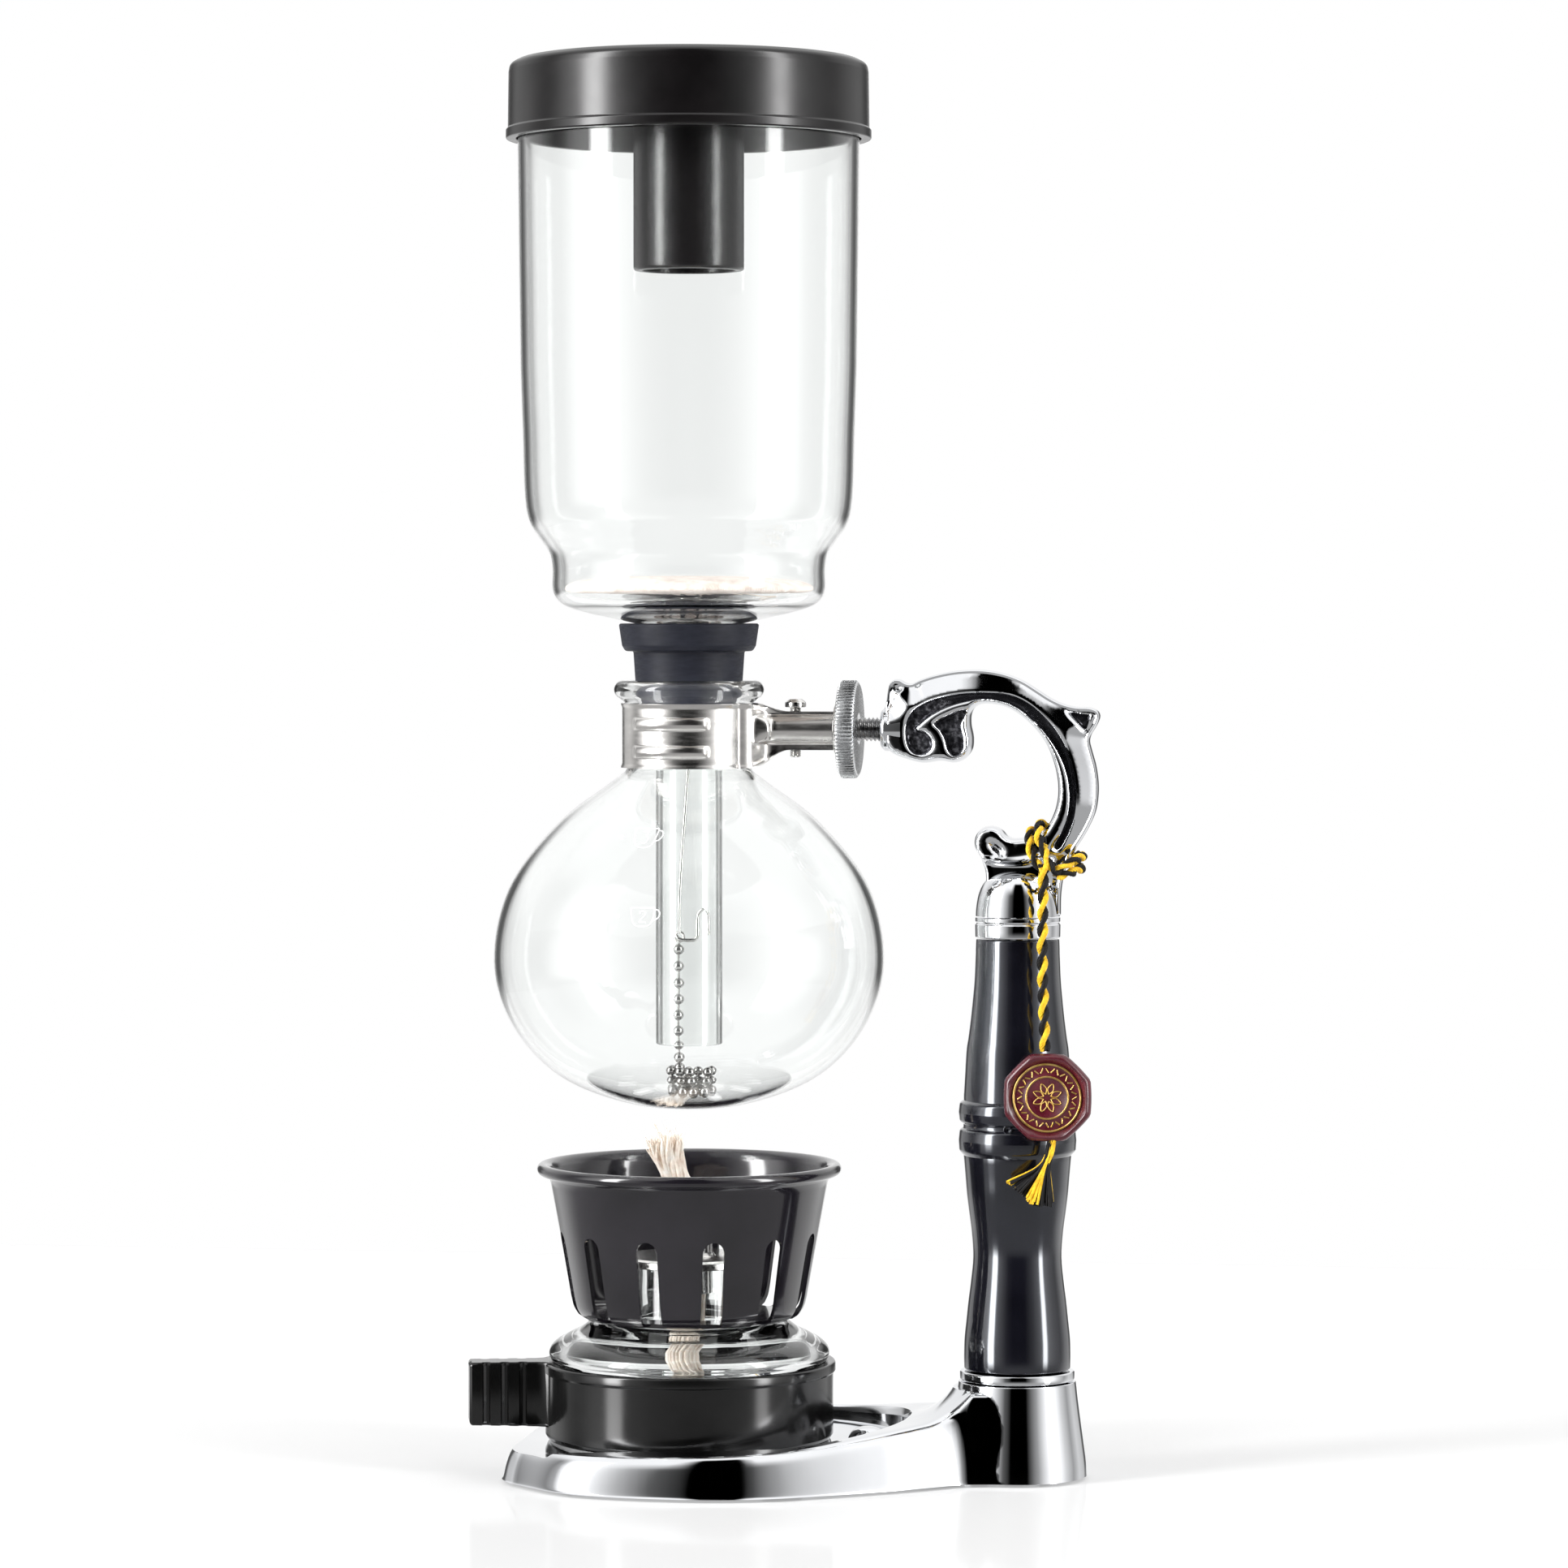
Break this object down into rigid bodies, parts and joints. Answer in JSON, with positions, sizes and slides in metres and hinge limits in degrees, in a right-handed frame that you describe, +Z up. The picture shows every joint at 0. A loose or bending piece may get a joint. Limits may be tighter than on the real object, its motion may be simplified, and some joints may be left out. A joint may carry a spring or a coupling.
{
  "type": "siphon coffee maker",
  "caption": "Tabletop siphon coffee maker: glass flask and upper chamber on a chromed stand with a black handle, over a glass alcohol lamp.",
  "frame": {"origin": "on the table, under the middle of the object's box", "axes": "+Z up, +X from the flask towards the handle, -Y the side that the hanging tag is on"},
  "size_m": [0.1553, 0.1022, 0.3475],
  "materials": {
    "chrome": "polished",
    "plated_steel": "satin plated",
    "stainless": "bright pressed sheet",
    "grip_lacquer": "high gloss black",
    "lid_plastic": "gloss black",
    "holder_plastic": "semi-gloss black",
    "guard_enamel": "gloss black enamel",
    "black_rubber": "matt",
    "clear_glass": "clear borosilicate",
    "filter_cotton": "flannel",
    "wick_cotton": "braided cotton",
    "tag_cord": "two-colour twisted cord",
    "seal_wax": "satin dark red with gold rings"
  },
  "bodies": {
    "stand": {"base_casting": "chrome", "rubber_foot_1": "black_rubber", "rubber_foot_2": "black_rubber", "rubber_foot_3": "black_rubber", "rubber_foot_4": "black_rubber", "rubber_foot_5": "black_rubber", "lower_collar": "chrome", "handle_grip": "grip_lacquer", "upper_ferrule": "chrome", "scroll_arm": "chrome", "tie_rod": "plated_steel", "tie_rod_washer": "plated_steel", "tie_rod_nut": "plated_steel", "clamp_stud": "plated_steel", "tag_loop": "tag_cord"},
    "clamp_collar": {"thrust_washer": "plated_steel"},
    "clamp_nut": {"thumb_nut": "plated_steel"},
    "flask": {"flask_glass": "clear_glass", "neck_band": "stainless", "clamp_screw": "plated_steel"},
    "chamber": {"chamber_glass": "clear_glass", "rubber_stopper": "black_rubber"},
    "filter": {"filter_cloth": "filter_cotton", "filter_disc": "stainless", "filter_hub": "stainless", "filter_spring": "stainless", "filter_wire": "stainless", "bead_chain": "stainless", "bead_chain_end": "stainless"},
    "lid": {"lid": "lid_plastic"},
    "lamp": {"lamp_holder": "holder_plastic", "lamp_reservoir": "clear_glass", "wick_holder": "plated_steel", "wick": "wick_cotton", "wind_guard": "guard_enamel"},
    "tag": {"tag_cord": "tag_cord", "tag_seal": "seal_wax", "tag_tassel": "tag_cord"}
  },
  "joints": [
    {"name": "nut_feed", "type": "slide", "parent": "stand", "child": "clamp_collar", "axis": [1, 0, 0], "range_m": [0, 0.003]},
    {"name": "nut_turn", "type": "hinge", "parent": "clamp_collar", "child": "clamp_nut", "pos_m": [0.01663, 0, 0.1835], "axis": [1, 0, 0], "range_deg": [0, 1080.6]},
    {"name": "flask_tilt", "type": "hinge", "parent": "stand", "child": "flask", "pos_m": [0.00673, 0, 0.1835], "axis": [1, 0, 0], "range_deg": [-75, 75]},
    {"name": "chamber_lift", "type": "slide", "parent": "flask", "child": "chamber", "axis": [0, 0, 1], "range_m": [0, 0.12]},
    {"name": "filter_lift", "type": "slide", "parent": "chamber", "child": "filter", "axis": [0, 0, 1], "range_m": [0, 0.04]},
    {"name": "lid_lift", "type": "slide", "parent": "chamber", "child": "lid", "axis": [0, 0, 1], "range_m": [0, 0.06]},
    {"name": "lamp_slide", "type": "slide", "parent": "stand", "child": "lamp", "axis": [-1, 0, 0], "range_m": [0, 0.12]},
    {"name": "tag_swing", "type": "hinge", "parent": "stand", "child": "tag", "pos_m": [0.06553, -0.0095, 0.1515], "axis": [1, 0, 0], "range_deg": [-50, 0]}
  ],
  "couplings": [
    {"joint": "nut_turn", "follows": "nut_feed", "rad_per_m": 6283.2}
  ]
}
